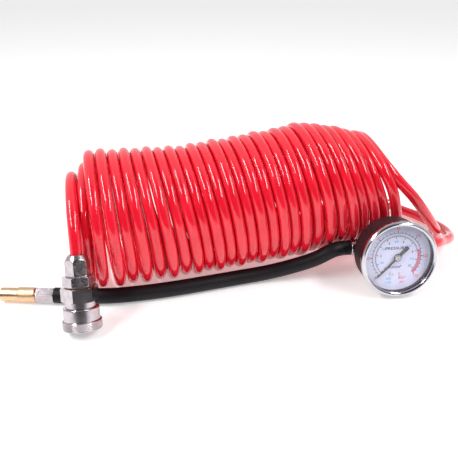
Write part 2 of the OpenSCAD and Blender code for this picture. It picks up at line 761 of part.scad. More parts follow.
// ---------- tyre chuck ----------
module chuck_ferrule() {
    rc = ferrule_ac / 2;
    color(chrome) at_chuck() translate([0, 0, ferrule_z]) difference() {
        intersection() {
            linear_extrude(ferrule_len) circle(r = rc, $fn = 6);
            rotate_extrude() polygon([[0, 0], [rc - 0.5, 0], [rc + 0.02, 0.6], [rc + 0.02, ferrule_len - 0.6],
                [rc - 0.5, ferrule_len], [0, ferrule_len]]);
        }
        translate([0, 0, -1]) cylinder(r = swivel_neck_r, h = ferrule_len);
    }
}

// The stem's collar turns inside the chuck's body and its neck is crimped in the ferrule.
module chuck_stem() {
    color(brass) at_chuck() difference() {
        union() {
            translate([0, 0, collar_z]) cylinder(r = cavity_r - running, h = collar_len);
            translate([0, 0, collar_z]) cylinder(r = swivel_neck_r, h = ferrule_z + ferrule_len - 1 - collar_z);
        }
        translate([0, 0, collar_z - 1]) cylinder(r = 1.2, h = 60);
    }
}

module chuck_body() {
    r = chuck_d / 2;
    shoulder = collar_z + collar_len + running;
    color(brass) at_chuck() difference() {
        rotate_extrude() polygon([[0, 0], [r - 0.9, 0], [r - 0.4, 0.5], [r - 0.4, chuck_len / 2 - 0.3],
            [r, chuck_len / 2 + 0.1], [r, chuck_len - 0.8], [r - 0.8, chuck_len], [0, chuck_len]]);
        translate([0, 0, -1]) cylinder(r = valve_thread_r, h = valve_thread_len + 1.01);
        translate([0, 0, valve_thread_len]) cylinder(r = cavity_r, h = shoulder - valve_thread_len);
        translate([0, 0, shoulder - 1]) cylinder(r = swivel_neck_r + running, h = chuck_len);
    }
}

module chuck_washer() {
    color(rubber) at_chuck() ring(cavity_r - running, 1.5, washer_len, valve_thread_len + 0.05);
}

// The pin that opens the tyre's valve, on three ribs that let the air past.
module valve_depressor() {
    color(brass) at_chuck() union() {
        translate([0, 0, valve_thread_len + 0.1]) cylinder(r = 0.6, h = collar_z + 1.5 - valve_thread_len - 0.1, $fn = 32);
        for (i = [0:2]) rotate([0, 0, 120 * i])
            translate([0, -0.2, collar_z + 0.4]) cube([1.3, 0.4, 1]);
    }
}

recoil_coil();
hose_tail_left();
hose_tail_right();
black_hose();
compression_nut();
hose_adapter();
adapter_washer();
coupler_body();
coupler_sleeve();
sleeve_spring();
retaining_ring();
lock_ball_1();
lock_ball_2();
lock_ball_3();
lock_ball_4();
plug_seal();
valve_poppet();
valve_seal();
valve_spring();
gauge_case();
gauge_bezel();
lens_gasket();
gauge_lens();
gauge_dial();
dial_screw_1();
dial_screw_2();
needle_stop();
gauge_needle();
needle_hub();
pinion_arbor();
hairspring();
sector_gear();
tip_link();
movement_plate_front();
movement_plate_back();
movement_pillars();
bourdon_tube();
gauge_socket();
tee_body();
tee_hose_nut();
tee_ferrule();
chuck_ferrule();
chuck_stem();
chuck_body();
chuck_washer();
valve_depressor();
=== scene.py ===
"""Recoil air line: a red spiral hose with a quick coupler, a tee with a dial gauge, and a rubber hose
with a tyre chuck. Shapes are worked out in millimetres, in the frame of their own fitting, and put in
place in metres.
"""
import json
import math

import bmesh
import bpy
import numpy as np
from mathutils import Matrix


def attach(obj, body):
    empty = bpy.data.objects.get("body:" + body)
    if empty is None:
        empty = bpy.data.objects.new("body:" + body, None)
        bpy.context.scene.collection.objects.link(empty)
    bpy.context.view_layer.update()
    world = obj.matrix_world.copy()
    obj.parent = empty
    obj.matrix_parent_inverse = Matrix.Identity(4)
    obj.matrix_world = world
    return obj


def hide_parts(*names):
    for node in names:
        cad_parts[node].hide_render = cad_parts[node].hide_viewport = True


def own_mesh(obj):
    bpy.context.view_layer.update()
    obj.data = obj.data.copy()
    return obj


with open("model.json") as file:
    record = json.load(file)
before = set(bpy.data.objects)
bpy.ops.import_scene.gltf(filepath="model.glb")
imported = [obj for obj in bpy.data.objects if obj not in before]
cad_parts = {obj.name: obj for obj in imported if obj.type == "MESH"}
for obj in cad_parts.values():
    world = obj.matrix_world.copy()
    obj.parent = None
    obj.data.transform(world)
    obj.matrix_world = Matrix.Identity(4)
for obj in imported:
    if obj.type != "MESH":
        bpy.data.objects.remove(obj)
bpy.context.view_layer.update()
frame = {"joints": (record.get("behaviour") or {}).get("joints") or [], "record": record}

MM = 0.001
SHIFT = np.array([-71.6, 48.6, 0.0])


# ---------- places ----------
def unit(v):
    """The vector v brought to length 1."""
    v = np.asarray(v, float)
    return v / np.linalg.norm(v)


def place(origin, z, x):
    """A fitting's own frame: its origin in metres and its three axes as the columns of a matrix."""
    z, x = unit(z), unit(x)
    return np.asarray(origin, float), np.stack([x, np.cross(z, x), z], axis=1)


def set_down(points, where):
    """Points in millimetres of a fitting's frame, brought to metres of the shared frame."""
    origin, axes = where
    return origin + MM * np.asarray(points, float) @ axes.T


def joint(name):
    """The frame's joint of that name."""
    return next(j for j in frame["joints"] if j["name"] == name)


def mount(name):
    """The record's mount of that name."""
    return next(m for m in frame["record"]["mounts"] if m["name"] == name)


BORE_MIDDLE = 12.3
plug_bore = mount("plug_nose_bore")
coupler_axis = -unit(plug_bore["axis"])
COUPLER = place(np.array(plug_bore["pos_m"]) - BORE_MIDDLE * MM * coupler_axis, coupler_axis,
                np.cross([0, 1, 0], coupler_axis))

gauge_axis = unit(joint("needle_turn")["axis"])
GAUGE = place(joint("needle_turn")["pos_m"], gauge_axis, np.cross([0, 0, 1], gauge_axis))

THREAD_LEN = 8.0
valve_thread = mount("tyre_valve_thread")
chuck_axis = -unit(valve_thread["axis"])
CHUCK = place(np.array(valve_thread["pos_m"]) - THREAD_LEN / 2 * MM * chuck_axis, chuck_axis, [0, 0, -1])

TEE_Z = -9.5
tee_middle = set_down([0, 0, TEE_Z], GAUGE)
TEE_RIGHT = place(tee_middle, GAUGE[1][:, 0], -gauge_axis)
TEE_LEFT = place(tee_middle, -GAUGE[1][:, 0], gauge_axis)

# ---------- sizes that hoses and fittings share ----------
HOSE_R, RUBBER_R = 4.0, 5.5
ADAPTER_Z, ADAPTER_LEN, ADAPTER_AF = 28.9, 6.4, 18.3
NUT_Z, NUT_LEN, NUT_AF = ADAPTER_Z + ADAPTER_LEN, 13.6, 14.2
TEE_NUT_Z = 12.0
BAND_Z, BAND_END = 12.0, 25.6
FERRULE_Z, FERRULE_END = 25.3, 37.8

# ---------- camera ----------
CAMERA_AT = (-0.0843, -0.3446, 0.2336)
CAMERA_TURN = 14.72
CAMERA_DIP = 26.83
CAMERA_LENS = 46.31
camera = bpy.data.objects.new("camera", bpy.data.cameras.new("camera"))
camera.location = CAMERA_AT
camera.rotation_euler = (math.radians(90 - CAMERA_DIP), 0, -math.radians(CAMERA_TURN))
camera.data.sensor_width = 36
camera.data.lens = CAMERA_LENS
bpy.context.scene.collection.objects.link(camera)
bpy.context.scene.camera = camera
bpy.context.scene.view_settings.view_transform = "Standard"


# ---------- materials ----------
def new_material(name):
    """An empty node material with its Principled shader and the tree that holds it."""
    made = bpy.data.materials.new(name)
    made.use_nodes = True
    tree = made.node_tree
    return made, tree, tree.nodes["Principled BSDF"]


def object_coords(tree, where=None, stretch=(1, 1, 1)):
    """Object coordinates, or a fitting's own coordinates divided by stretch."""
    coords = tree.nodes.new("ShaderNodeTexCoord").outputs["Object"]
    if where is None:
        return coords
    mapping = tree.nodes.new("ShaderNodeMapping")
    mapping.vector_type = "TEXTURE"
    mapping.inputs["Location"].default_value = tuple(where[0])
    mapping.inputs["Rotation"].default_value = Matrix(where[1].tolist()).to_euler()
    mapping.inputs["Scale"].default_value = stretch
    tree.links.new(coords, mapping.inputs["Vector"])
    return mapping.outputs["Vector"]


def noise(tree, coords, scale):
    """Smooth noise; scale is in features a metre."""
    made = tree.nodes.new("ShaderNodeTexNoise")
    made.inputs["Scale"].default_value = scale
    made.inputs["Detail"].default_value = 3.0
    tree.links.new(coords, made.inputs["Vector"])
    return made.outputs["Fac"]


NOISE_LOW, NOISE_HIGH = 0.3, 0.7


def between(tree, value, low, high):
    """Maps the middle of a noise's range to low to high."""
    made = tree.nodes.new("ShaderNodeMapRange")
    made.inputs["From Min"].default_value = NOISE_LOW
    made.inputs["From Max"].default_value = NOISE_HIGH
    made.inputs["To Min"].default_value = low
    made.inputs["To Max"].default_value = high
    tree.links.new(value, made.inputs["Value"])
    return made.outputs["Result"]


def mixed(tree, value, low, high):
    """A colour between low and high by value."""
    made = tree.nodes.new("ShaderNodeMix")
    made.data_type = "RGBA"
    made.inputs["A"].default_value = (*low, 1)
    made.inputs["B"].default_value = (*high, 1)
    tree.links.new(value, made.inputs["Factor"])
    return made.outputs["Result"]


def finish(name, dark, light, roughness, patches=120.0, grain=3000.0, depth=0.02, where=None,
           stretch=(1, 1, 1), **sockets):
    """A surface whose colour wanders from dark to light in patches, whose roughness wanders between
    two values, and whose bump is a fine grain of the given depth in millimetres."""
    made, tree, shader = new_material(name)
    coords = object_coords(tree)
    fine = object_coords(tree, where, stretch)
    tree.links.new(mixed(tree, between(tree, noise(tree, coords, patches), 0, 1), dark, light),
                   shader.inputs["Base Color"])
    tree.links.new(between(tree, noise(tree, fine, grain * 0.3), *roughness), shader.inputs["Roughness"])
    bump = tree.nodes.new("ShaderNodeBump")
    bump.inputs["Strength"].default_value = 0.5
    bump.inputs["Distance"].default_value = depth * MM
    tree.links.new(noise(tree, fine, grain), bump.inputs["Height"])
    tree.links.new(bump.outputs["Normal"], shader.inputs["Normal"])
    for socket, value in sockets.items():
        shader.inputs[socket.replace("_", " ")].default_value = value
    return made


TURNED = (1, 1, 0.02)
red_plastic = finish("red_polyurethane", (0.74, 0.008, 0.026), (0.86, 0.014, 0.038), (0.08, 0.15),
                     patches=60, grain=900, depth=0.003, IOR=1.5, Coat_Weight=0.4, Coat_Roughness=0.05,
                     Subsurface_Weight=0.25, Subsurface_Scale=0.002, Subsurface_Radius=(1, 0.12, 0.12))
black_rubber = finish("black_hose_rubber", (0.006, 0.005, 0.007), (0.010, 0.009, 0.012), (0.42, 0.56),
                      patches=90, grain=2500, depth=0.03, Specular_IOR_Level=0.25)
seal_rubber = finish("seal_rubber", (0.015, 0.015, 0.015), (0.03, 0.03, 0.03), (0.55, 0.7))
nickel = finish("satin_nickel", (0.42, 0.38, 0.40), (0.56, 0.51, 0.53), (0.16, 0.28), patches=260,
                grain=2200, depth=0.005, Metallic=1.0)
coupler_nickel = finish("turned_nickel", (0.42, 0.38, 0.40), (0.56, 0.51, 0.53), (0.12, 0.22), patches=200,
                        grain=300, depth=0.006, where=COUPLER, stretch=TURNED, Metallic=1.0)
bezel_chrome = finish("bezel_chrome", (0.50, 0.49, 0.53), (0.60, 0.59, 0.63), (0.10, 0.20), patches=80,
                      grain=60, depth=0.01, where=GAUGE, stretch=TURNED, Metallic=1.0)
bright_steel = finish("bright_steel", (0.50, 0.49, 0.49), (0.66, 0.65, 0.65), (0.2, 0.32), Metallic=1.0)
fibre = finish("red_fibre", (0.30, 0.12, 0.07), (0.42, 0.20, 0.12), (0.6, 0.8), patches=900)
brass = finish("brass", (0.72, 0.47, 0.20), (0.84, 0.60, 0.30), (0.22, 0.36), patches=300, grain=2400,
               depth=0.015, Metallic=1.0)
chuck_brass = finish("turned_brass", (0.70, 0.46, 0.27), (0.80, 0.56, 0.36), (0.26, 0.38), patches=300,
                     grain=340, depth=0.01, where=CHUCK, stretch=TURNED, Metallic=1.0)
case_paint = finish("case_paint", (0.022, 0.008, 0.011), (0.034, 0.013, 0.017), (0.48, 0.6), patches=120,
                    grain=1500, depth=0.03, Specular_IOR_Level=0.35)
dial_paint = finish("dial_enamel", (0.62, 0.62, 0.80), (0.70, 0.70, 0.86), (0.35, 0.5), patches=60,
                    grain=2500, depth=0.004)
black_ink = finish("black_ink", (0.012, 0.010, 0.02), (0.03, 0.026, 0.04), (0.4, 0.6), patches=900)
red_ink = finish("red_ink", (0.72, 0.07, 0.16), (0.80, 0.12, 0.22), (0.4, 0.6), patches=900)
blue_ink = finish("blue_ink", (0.06, 0.36, 0.66), (0.10, 0.45, 0.74), (0.4, 0.6), patches=900)
needle_paint = finish("needle_paint", (0.010, 0.008, 0.012), (0.022, 0.018, 0.024), (0.35, 0.5),
                      patches=600)


def clear_lens():
    """Clear plastic that bends and mirrors light, and lets lamps through to the dial."""
    made, tree, shader = new_material("clear_lens")
    shader.inputs["Base Color"].default_value = (0.96, 0.96, 1, 1)
    shader.inputs["Transmission Weight"].default_value = 1
    shader.inputs["IOR"].default_value = 1.49
    smears = between(tree, noise(tree, object_coords(tree), 400), 0.0, 0.03)
    tree.links.new(smears, shader.inputs["Roughness"])
    path = tree.nodes.new("ShaderNodeLightPath")
    pane = tree.nodes.new("ShaderNodeBsdfTransparent")
    mix = tree.nodes.new("ShaderNodeMixShader")
    tree.links.new(path.outputs["Is Shadow Ray"], mix.inputs["Fac"])
    tree.links.new(shader.outputs["BSDF"], mix.inputs[1])
    tree.links.new(pane.outputs["BSDF"], mix.inputs[2])
    tree.links.new(mix.outputs["Shader"], tree.nodes["Material Output"].inputs["Surface"])
    return made


lens_plastic = clear_lens()


# ---------- surfaces ----------
def grid_faces(rows, cols, wrap_rows):
    """Quads between neighbours of a grid whose rows are rings. With wrap_rows the last ring is joined to
    the first."""
    i, j = np.meshgrid(np.arange(rows if wrap_rows else rows - 1), np.arange(cols), indexing="ij")
    i2, j2 = (i + 1) % rows, (j + 1) % cols
    return np.stack([i * cols + j, i2 * cols + j, i2 * cols + j2, i * cols + j2], -1).reshape(-1, 4)


def shell(points, wrap_rows=False):
    """A closed surface through a grid of points whose rows are rings. Without wrap_rows, each end ring
    is closed by a fan about its middle. Faces are turned so that the shell's volume is positive."""
    rows, cols = points.shape[:2]
    verts = points.reshape(-1, 3)
    quads = grid_faces(rows, cols, wrap_rows)
    fans = np.zeros((0, 3), int)
    if not wrap_rows:
        ring = np.arange(cols)
        after = np.roll(ring, -1)
        low = np.stack([ring, after, np.full(cols, len(verts))], -1)
        last = (rows - 1) * cols
        high = np.stack([last + after, last + ring, np.full(cols, len(verts) + 1)], -1)
        fans = np.vstack([low, high])
        verts = np.vstack([verts, points[0].mean(0), points[-1].mean(0)])
    triangles = np.vstack([quads[:, [0, 1, 2]], quads[:, [0, 2, 3]], fans])
    a, b, c = (verts[triangles[:, k]] for k in range(3))
    if np.einsum("ij,ij->i", a, np.cross(b, c)).sum() < 0:
        quads, fans = quads[:, ::-1], fans[:, ::-1]
    return verts, quads.tolist() + fans.tolist()


def add_piece(name, shells, body, material, where=None, smooth_under=32):
    """One object of one or more shells, riding on a body, with its place in its mesh."""
    verts, faces, start = [], [], 0
    for points, polygons in shells:
        verts.append(points)
        faces += [[start + k for k in polygon] for polygon in polygons]
        start += len(points)
    verts = np.vstack(verts)
    if where is not None:
        verts = set_down(verts, where)
    mesh = bpy.data.meshes.new(name)
    mesh.from_pydata(verts.tolist(), [], faces)
    mesh.update()
    mesh.shade_smooth()
    mesh.set_sharp_from_angle(angle=math.radians(smooth_under))
    mesh.materials.append(material)
    made = bpy.data.objects.new(name, mesh)
    bpy.context.scene.collection.objects.link(made)
    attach(made, body)
    return made


def rounded(outline, radius, steps=5):
    """A closed outline whose corners give way to short arcs, each a quadratic curve that leaves and meets
    its two edges at the radius from the corner, or at 45% of an edge if that is shorter."""
    p = np.asarray(outline, float)

    def on_the_way(neighbours):
        """Where each corner's arc meets the edge to its neighbour."""
        way = neighbours - p
        far = np.linalg.norm(way, axis=1)[:, None]
        return (p + np.minimum(radius, 0.45 * far) * (way / np.maximum(far, 1e-9)))[:, None]

    start, end = on_the_way(np.roll(p, 1, axis=0)), on_the_way(np.roll(p, -1, axis=0))
    t = np.linspace(0, 1, steps)[None, :, None]
    return ((1 - t) ** 2 * start + 2 * t * (1 - t) * p[:, None] + t ** 2 * end).reshape(-1, 2)


def filled(outline, step):
    """A closed outline with points added so that none of its edges is longer than step."""
    made = []
    for a, b in zip(outline, np.roll(outline, -1, axis=0)):
        n = max(1, math.ceil(np.linalg.norm(b - a) / step))
        made.append(a + (b - a) * np.arange(n)[:, None] / n)
    return np.vstack(made)


def turned(outline, sides, relief=None):
    """Rings of a turned shape: an outline of (radius, height) carried round the axis. relief(angle,
    height, radius) is what a knurl or thread adds to the radius."""
    r, z = np.asarray(outline, float).T
    angle = 2 * np.pi * np.arange(sides) / sides
    r, z, angle = r[:, None], z[:, None], angle[None, :]
    r = r + (relief(angle, z, r) if relief else 0)
    return np.stack([r * np.cos(angle), r * np.sin(angle), z + 0 * angle], -1)


HEX_SIDES, HEX_BLEND = 240, 70


def hexagonal(outline, flats, turn):
    """Rings of a turned shape cut to a hexagon: the radius is the smaller of the outline's and of the
    hexagon's, flats / 2 over the cosine of the angle from the nearest flat's middle. The two are joined
    by a power mean, which rounds the edge between them."""
    r, z = np.asarray(outline, float).T
    angle = 2 * np.pi * np.arange(HEX_SIDES) / HEX_SIDES
    off = (angle - math.radians(turn)) % (np.pi / 3) - np.pi / 6
    hexagon = (flats / 2 / np.cos(off))[None, :]
    r = r[:, None]
    r = r * (1 + (r / hexagon) ** HEX_BLEND) ** (-1 / HEX_BLEND)
    angle = angle[None, :]
    return np.stack([r * np.cos(angle), r * np.sin(angle), z[:, None] + 0 * angle], -1)


# ---------- hoses ----------
def smooth_line(points, spacing):
    """A smooth curve through the points, cut at even spacing. Between two points it is the cubic whose
    slopes there come from the neighbours, weighted by how near they are."""
    p = np.asarray(points, float)
    d = np.linalg.norm(np.diff(p, axis=0), axis=1)
    v = np.diff(p, axis=0) / d[:, None]
    inner = (v[:-1] * d[1:, None] + v[1:] * d[:-1, None]) / (d[:-1] + d[1:])[:, None]
    slope = np.vstack([v[:1], inner, v[-1:]])
    t = np.linspace(0, 1, 12, endpoint=False)[None, :, None]
    a, b = p[:-1, None], p[1:, None]
    m, n = slope[:-1, None] * d[:, None, None], slope[1:, None] * d[:, None, None]
    line = (2 * t ** 3 - 3 * t ** 2 + 1) * a + (t ** 3 - 2 * t ** 2 + t) * m \
        + (3 * t ** 2 - 2 * t ** 3) * b + (t ** 3 - t ** 2) * n
    line = np.vstack([line.reshape(-1, 3), p[-1:]])
    run = np.concatenate([[0], np.cumsum(np.linalg.norm(np.diff(line, axis=0), axis=1))])
    even = np.linspace(0, run[-1], max(2, round(run[-1] / spacing)))
    return np.stack([np.interp(even, run, line[:, k]) for k in range(3)], -1)


def tube(line, radius, sides):
    """Rings of a round tube along a line. Each ring's first axis is the one before, cleared of its part
    along the new direction, so the tube doesn't twist."""
    ahead = np.gradient(line, axis=0)
    ahead /= np.linalg.norm(ahead, axis=1)[:, None]
    first = np.zeros_like(line)
    axis = np.cross(ahead[0], [1.0, 0.0, 0.0])
    for k, way in enumerate(ahead):
        axis = axis - way * (axis @ way)
        axis /= np.linalg.norm(axis)
        first[k] = axis
    second = np.cross(ahead, first)
    angle = 2 * np.pi * np.arange(sides) / sides
    ring = np.cos(angle)[None, :, None] * first[:, None] + np.sin(angle)[None, :, None] * second[:, None]
    return line[:, None] + radius * ring


def way_out(port, lead, where):
    """Where a hose leaves a fitting: the port's height on its axis, and the point a lead further out."""
    return [set_down([0, 0, z], where) / MM - SHIFT for z in (port, port + lead)]


AT_COUPLER = way_out(NUT_Z + NUT_LEN, 9, COUPLER)
AT_TEE_RIGHT = way_out(TEE_NUT_Z + NUT_LEN, 13, TEE_RIGHT)
AT_TEE_LEFT = way_out(BAND_END, 4, TEE_LEFT)
AT_CHUCK = way_out(FERRULE_END, 12, CHUCK)

# Hose points are in millimetres from the floor under the coil's start, with its axis near y = 0.
LEFT_ROUTE = [
    [-23, -38.5, 72], [-22.5, -25, 80], [-22, -8, 83], [-21.5, 10, 79], [-21, 27, 67],
    [-20.5, 37, 49], [-20, 34, 27], [-19, 20, 10.5], [-18.3, 0, 4.4], [-17.5, -20, 9.5],
    [-17, -36, 26], [-16.5, -42.5, 47], [-16, -37, 67], [-14.5, -22, 82], [-13, -3, 87],
    [-12, 16, 82.5], [-11.5, 34, 67], [-11, 41, 47], [-10.7, 36, 25], [-10.6, 21, 9.5]]
LAST_TURN = [[205, 24, 16.5], [212.5, 5, 9.5], [217, -16, 14], [214, -34, 29], [207, -42.8, 49],
             [202, -42.3, 66], [197.5, -35.8, 78], [194.5, -23, 87.5], [193.5, -8, 92]]
RIGHT_ROUTE = [
    [194.5, 8, 92], [196, 21, 87.5], [199, 37, 76], [203.5, 45, 54], [212, 41, 30], [226, 26, 11],
    [243, 5, 4.6], [255, -15, 8.5], [253, -30, 19.5], [243, -38.5, 31], [232, -43, 44],
    [219.5, -43.5, 59], [209, -39.5, 70.5], [201, -31, 81], [198, -14, 89], [199, 6, 91],
    [202, 24, 85], [209, 40, 69], [219, 50, 49], [233, 55, 29], [248, 54, 13], [263, 45, 5.4],
    [273, 29, 4.3], [278, 9, 4.8], [276, -12, 8], [267, -30, 12.5], [252, -42, 17.5]]
RUBBER_ROUTE = [
    [159.8, -44.7, 24], [145.9, -42.6, 17.2], [129.2, -38.6, 10.9], [110.7, -36, 6.9],
    [90, -35.5, 5.6], [66, -37, 5.6], [42, -38.3, 5.6], [18, -38.3, 5.6], [-4, -36.3, 5.6]]

# The tight turns are counted from the front of the first one. HOSE_DRAWN thins the drawn hose, so that
# turns side by side stay apart.
COIL_START, COIL_TOP, COIL_END = -0.25, 0.25, 24.62
POINTS_A_TURN = 24
PITCH = 8.02
LEAN = 8.7
TURN_WOBBLE = 0.7
HOSE_DRAWN = 0.99

# Turn by turn: how far out the coil's turns lie, how high and how far back their middle is, how far the
# first ones are pulled towards the coupler, and how far the last ones spread towards the tee.
TURN_AT = [0, 4, 8, 12, 16, 20, 22, 24.5]
TURN_R = [45.8, 45.0, 43.9, 44.3, 45.0, 45.2, 43.5, 41.5]
TURN_Z = [49.8, 49.4, 49.2, 51.4, 53.7, 57.5, 56.2, 54.0]
TURN_Y = [-2.1, -2.2, -1.6, -1.4, -0.8, 0, 0, 0]
PULL_AT = COIL_START + np.arange(8)
PULL = [14.2, 9.6, 8.4, 6.6, 4.3, 2.6, 1.2, 0]
SPREAD_AT = 16.9 + np.arange(8)
SPREAD = [0, 1.5, 3.0, 4.5, 6.0, 6.6, 7.5, 8.5]


def eased(x, at, values):
    """The values at given places, joined by smooth steps."""
    x = np.clip(x, at[0], at[-1])
    k = np.clip(np.searchsorted(at, x, side="right") - 1, 0, len(at) - 2)
    at, values = np.asarray(at, float), np.asarray(values, float)
    t = (x - at[k]) / (at[k + 1] - at[k])
    return values[k] + (values[k + 1] - values[k]) * t * t * (3 - 2 * t)


def coil_line():
    """The tight turns: round the coil's axis from below its first turn, in front and over the top. Each
    turn leans by a sine along the coil, and the first turns are pulled towards the coupler by a share
    (1 - sin(angle)) / 2 that is 1 at their lowest point and 0 at their top. The last turns spread
    towards the tee low down in front, by the square of a raised cosine."""
    n = round((COIL_END - COIL_START) * POINTS_A_TURN)
    turn = COIL_START + (COIL_END - COIL_START) * np.arange(1, n) / n
    angle = 2 * np.pi * turn
    r = eased(turn, TURN_AT, TURN_R) - TURN_WOBBLE * np.cos(angle / 2)
    pull = np.interp(turn, PULL_AT, PULL) * (1 - np.sin(angle)) / 2
    spread = np.interp(turn, SPREAD_AT, SPREAD) * (0.5 + 0.5 * np.cos(angle + np.pi / 4)) ** 2
    x = PITCH * (turn - COIL_TOP) - LEAN * np.sin(angle) - pull + spread
    y = eased(turn, TURN_AT, TURN_Y) - r * np.cos(angle)
    return np.stack([x, y, eased(turn, TURN_AT, TURN_Z) + r * np.sin(angle)], -1)


def red_hose():
    """The whole spiral hose: from the coupler's nut, round its loose turns, the tight turns, one wide
    turn and the loop that ends in the tee."""
    points = np.vstack([AT_COUPLER, LEFT_ROUTE, coil_line(), LAST_TURN, RIGHT_ROUTE, AT_TEE_RIGHT[::-1]])
    line = MM * (smooth_line(points, spacing=2.5) + SHIFT)
    drawn = shell(tube(line, HOSE_R * MM * HOSE_DRAWN, sides=20))
    made = add_piece("red_hose", [drawn], "line", red_plastic)
    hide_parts("recoil_coil", "hose_tail_left", "hose_tail_right")


def rubber_hose():
    """The short rubber hose, from the tee's ferrule along the floor to the chuck's."""
    points = np.vstack([AT_TEE_LEFT, RUBBER_ROUTE, AT_CHUCK[::-1]])
    line = MM * (smooth_line(points, spacing=2.0) + SHIFT)
    drawn = shell(tube(line, RUBBER_R * MM, sides=48))
    made = add_piece("rubber_hose", [drawn], "line", black_rubber)
    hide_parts("black_hose")


red_hose()
rubber_hose()


# ---------- floor and light ----------
FLOOR_HALF, FLOOR_Z, FLOOR_GLOW = 3.0, -0.0003, 0.34
ROOM_LIGHT = 0.76
STRIP_WIDTH, STRIP_LEN = 0.16, 0.75
STRIP_ASIDE, STRIP_NEARER, STRIP_UP = 0.62, 0.30, 0.75


def studio():
    """A pale floor, two long soft lights overhead and a pale room that is dark only behind the viewer."""
    mesh = bpy.data.meshes.new("floor")
    corners = [(-1, -1), (1, -1), (1, 1), (-1, 1)]
    mesh.from_pydata([(FLOOR_HALF * x, FLOOR_HALF * y, FLOOR_Z) for x, y in corners], [], [(0, 1, 2, 3)])
    made, tree, shader = new_material("floor_paint")
    shader.inputs["Base Color"].default_value = (0.93, 0.93, 0.93, 1)
    shader.inputs["Roughness"].default_value = 0.6
    shader.inputs["Emission Color"].default_value = (1, 1, 1, 1)
    shader.inputs["Emission Strength"].default_value = FLOOR_GLOW
    mesh.materials.append(made)
    floor = bpy.data.objects.new("floor", mesh)
    bpy.context.scene.collection.objects.link(floor)

    toward = np.array([-math.sin(math.radians(CAMERA_TURN)), -math.cos(math.radians(CAMERA_TURN)), 0])
    aside = np.array([-toward[1], toward[0], 0])
    middle = np.array([0.03, 0.0, 0.05])
    for name, side, power in (("strip_left", -1, 7.5), ("strip_right", 1, 5.5)):
        at = middle + toward * STRIP_NEARER + aside * side * STRIP_ASIDE + np.array([0, 0, STRIP_UP])
        lamp = bpy.data.lights.new(name, "AREA")
        lamp.shape = "RECTANGLE"
        lamp.size, lamp.size_y = STRIP_WIDTH, STRIP_LEN
        lamp.energy = power
        light = bpy.data.objects.new(name, lamp)
        light.location = at
        down = unit(middle - at)
        across = unit(np.cross(toward, down))
        light.matrix_world = Matrix.Translation(at.tolist()) @ Matrix(
            np.stack([across, np.cross(-down, across), -down], axis=1).tolist()).to_4x4()
        bpy.context.scene.collection.objects.link(light)

    world = bpy.data.worlds.new("room")
    bpy.context.scene.world = world
    world.use_nodes = True
    tree = world.node_tree
    back = tree.nodes["Background"]
    way = tree.nodes.new("ShaderNodeTexCoord").outputs["Generated"]
    facing = tree.nodes.new("ShaderNodeVectorMath")
    facing.operation = "DOT_PRODUCT"
    facing.inputs[1].default_value = tuple(unit(toward + np.array([0, 0, 0.5])))
    tree.links.new(way, facing.inputs[0])
    dark = tree.nodes.new("ShaderNodeMapRange")
    dark.interpolation_type = "SMOOTHSTEP"
    dark.inputs["From Min"].default_value = 0.2
    dark.inputs["From Max"].default_value = 0.8
    tree.links.new(facing.outputs["Value"], dark.inputs["Value"])
    tree.links.new(mixed(tree, dark.outputs["Result"], (1.0, 0.985, 1.0), (0.05, 0.045, 0.05)),
                   back.inputs["Color"])
    back.inputs["Strength"].default_value = ROOM_LIGHT


studio()


# ---------- quick coupler ----------
FLANGE_R, SLEEVE_R, SLEEVE_LEN = 12.75, 11.65, 15.0


def diamonds(angle, z, around, row):
    """The depth, 0 to 1, of a knurl's cuts: so many around the piece, in rows so far apart."""
    return 0.5 + 0.5 * np.cos(around * angle) * np.cos(2 * np.pi * z / row)


def ramp(distance, length):
    """0 to 1 over a length, and flat before and after it."""
    return np.clip(distance / length, 0, 1)


def coupler_sleeve():
    """The sliding sleeve, with a fine diamond knurl round its flange."""
    around, row, depth = 42, 2.0, 0.6
    outline = [[8.5, 0.35], [9.2, 0], [FLANGE_R - 1.4, 0], [FLANGE_R - 0.3, 0.5], [FLANGE_R, 1.4],
               [FLANGE_R, 6.0], [FLANGE_R - 0.4, 6.5], [SLEEVE_R, 6.7], [SLEEVE_R, SLEEVE_LEN - 0.5],
               [SLEEVE_R - 0.6, SLEEVE_LEN], [9.75, SLEEVE_LEN], [9.75, 7], [7.6, 7], [7.6, 4.6]]

    def knurl(angle, z, r):
        band = ramp(z - 0.9, 0.5) * ramp(6.1 - z, 0.4) * (r > SLEEVE_R + 0.3)
        return -depth * band * diamonds(angle, z, around, row)

    rings = turned(filled(rounded(outline, 0.3), 0.25), around * 8, knurl)
    made = add_piece("knurled_sleeve", [shell(rings, wrap_rows=True)], "sleeve", coupler_nickel, COUPLER, 50)
    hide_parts("coupler_sleeve")


def hex_nut(name, outline, flats, turn, where, replaced):
    """A hexagonal fitting with a bore: its closed outline turned and cut to the hexagon."""
    rings = hexagonal(filled(rounded(outline, 0.15, steps=3), 0.22), flats, turn)
    made = add_piece(name, [shell(rings, wrap_rows=True)], "line", nickel, where, 28)
    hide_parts(replaced)


def clamp_nut_outline(z):
    """The nut that clamps the hose: its top is a long cone, and its bore steps in to the hose."""
    corner, bore, hose_bore = NUT_AF / 2 / math.cos(math.pi / 6), 5.45, HOSE_R + 0.15
    return [[bore, z], [corner - 0.4, z], [corner + 0.02, z + 0.6], [corner + 0.02, z + NUT_LEN - 4.2],
            [HOSE_R + 1.5, z + NUT_LEN], [hose_bore, z + NUT_LEN - 0.2], [hose_bore, z + 9.5],
            [bore, z + 7.5]]


coupler_sleeve()
hex_nut("clamp_nut", clamp_nut_outline(NUT_Z), NUT_AF, 12, COUPLER, "compression_nut")
hex_nut("tee_clamp_nut", clamp_nut_outline(TEE_NUT_Z), NUT_AF, 12, TEE_RIGHT, "tee_hose_nut")


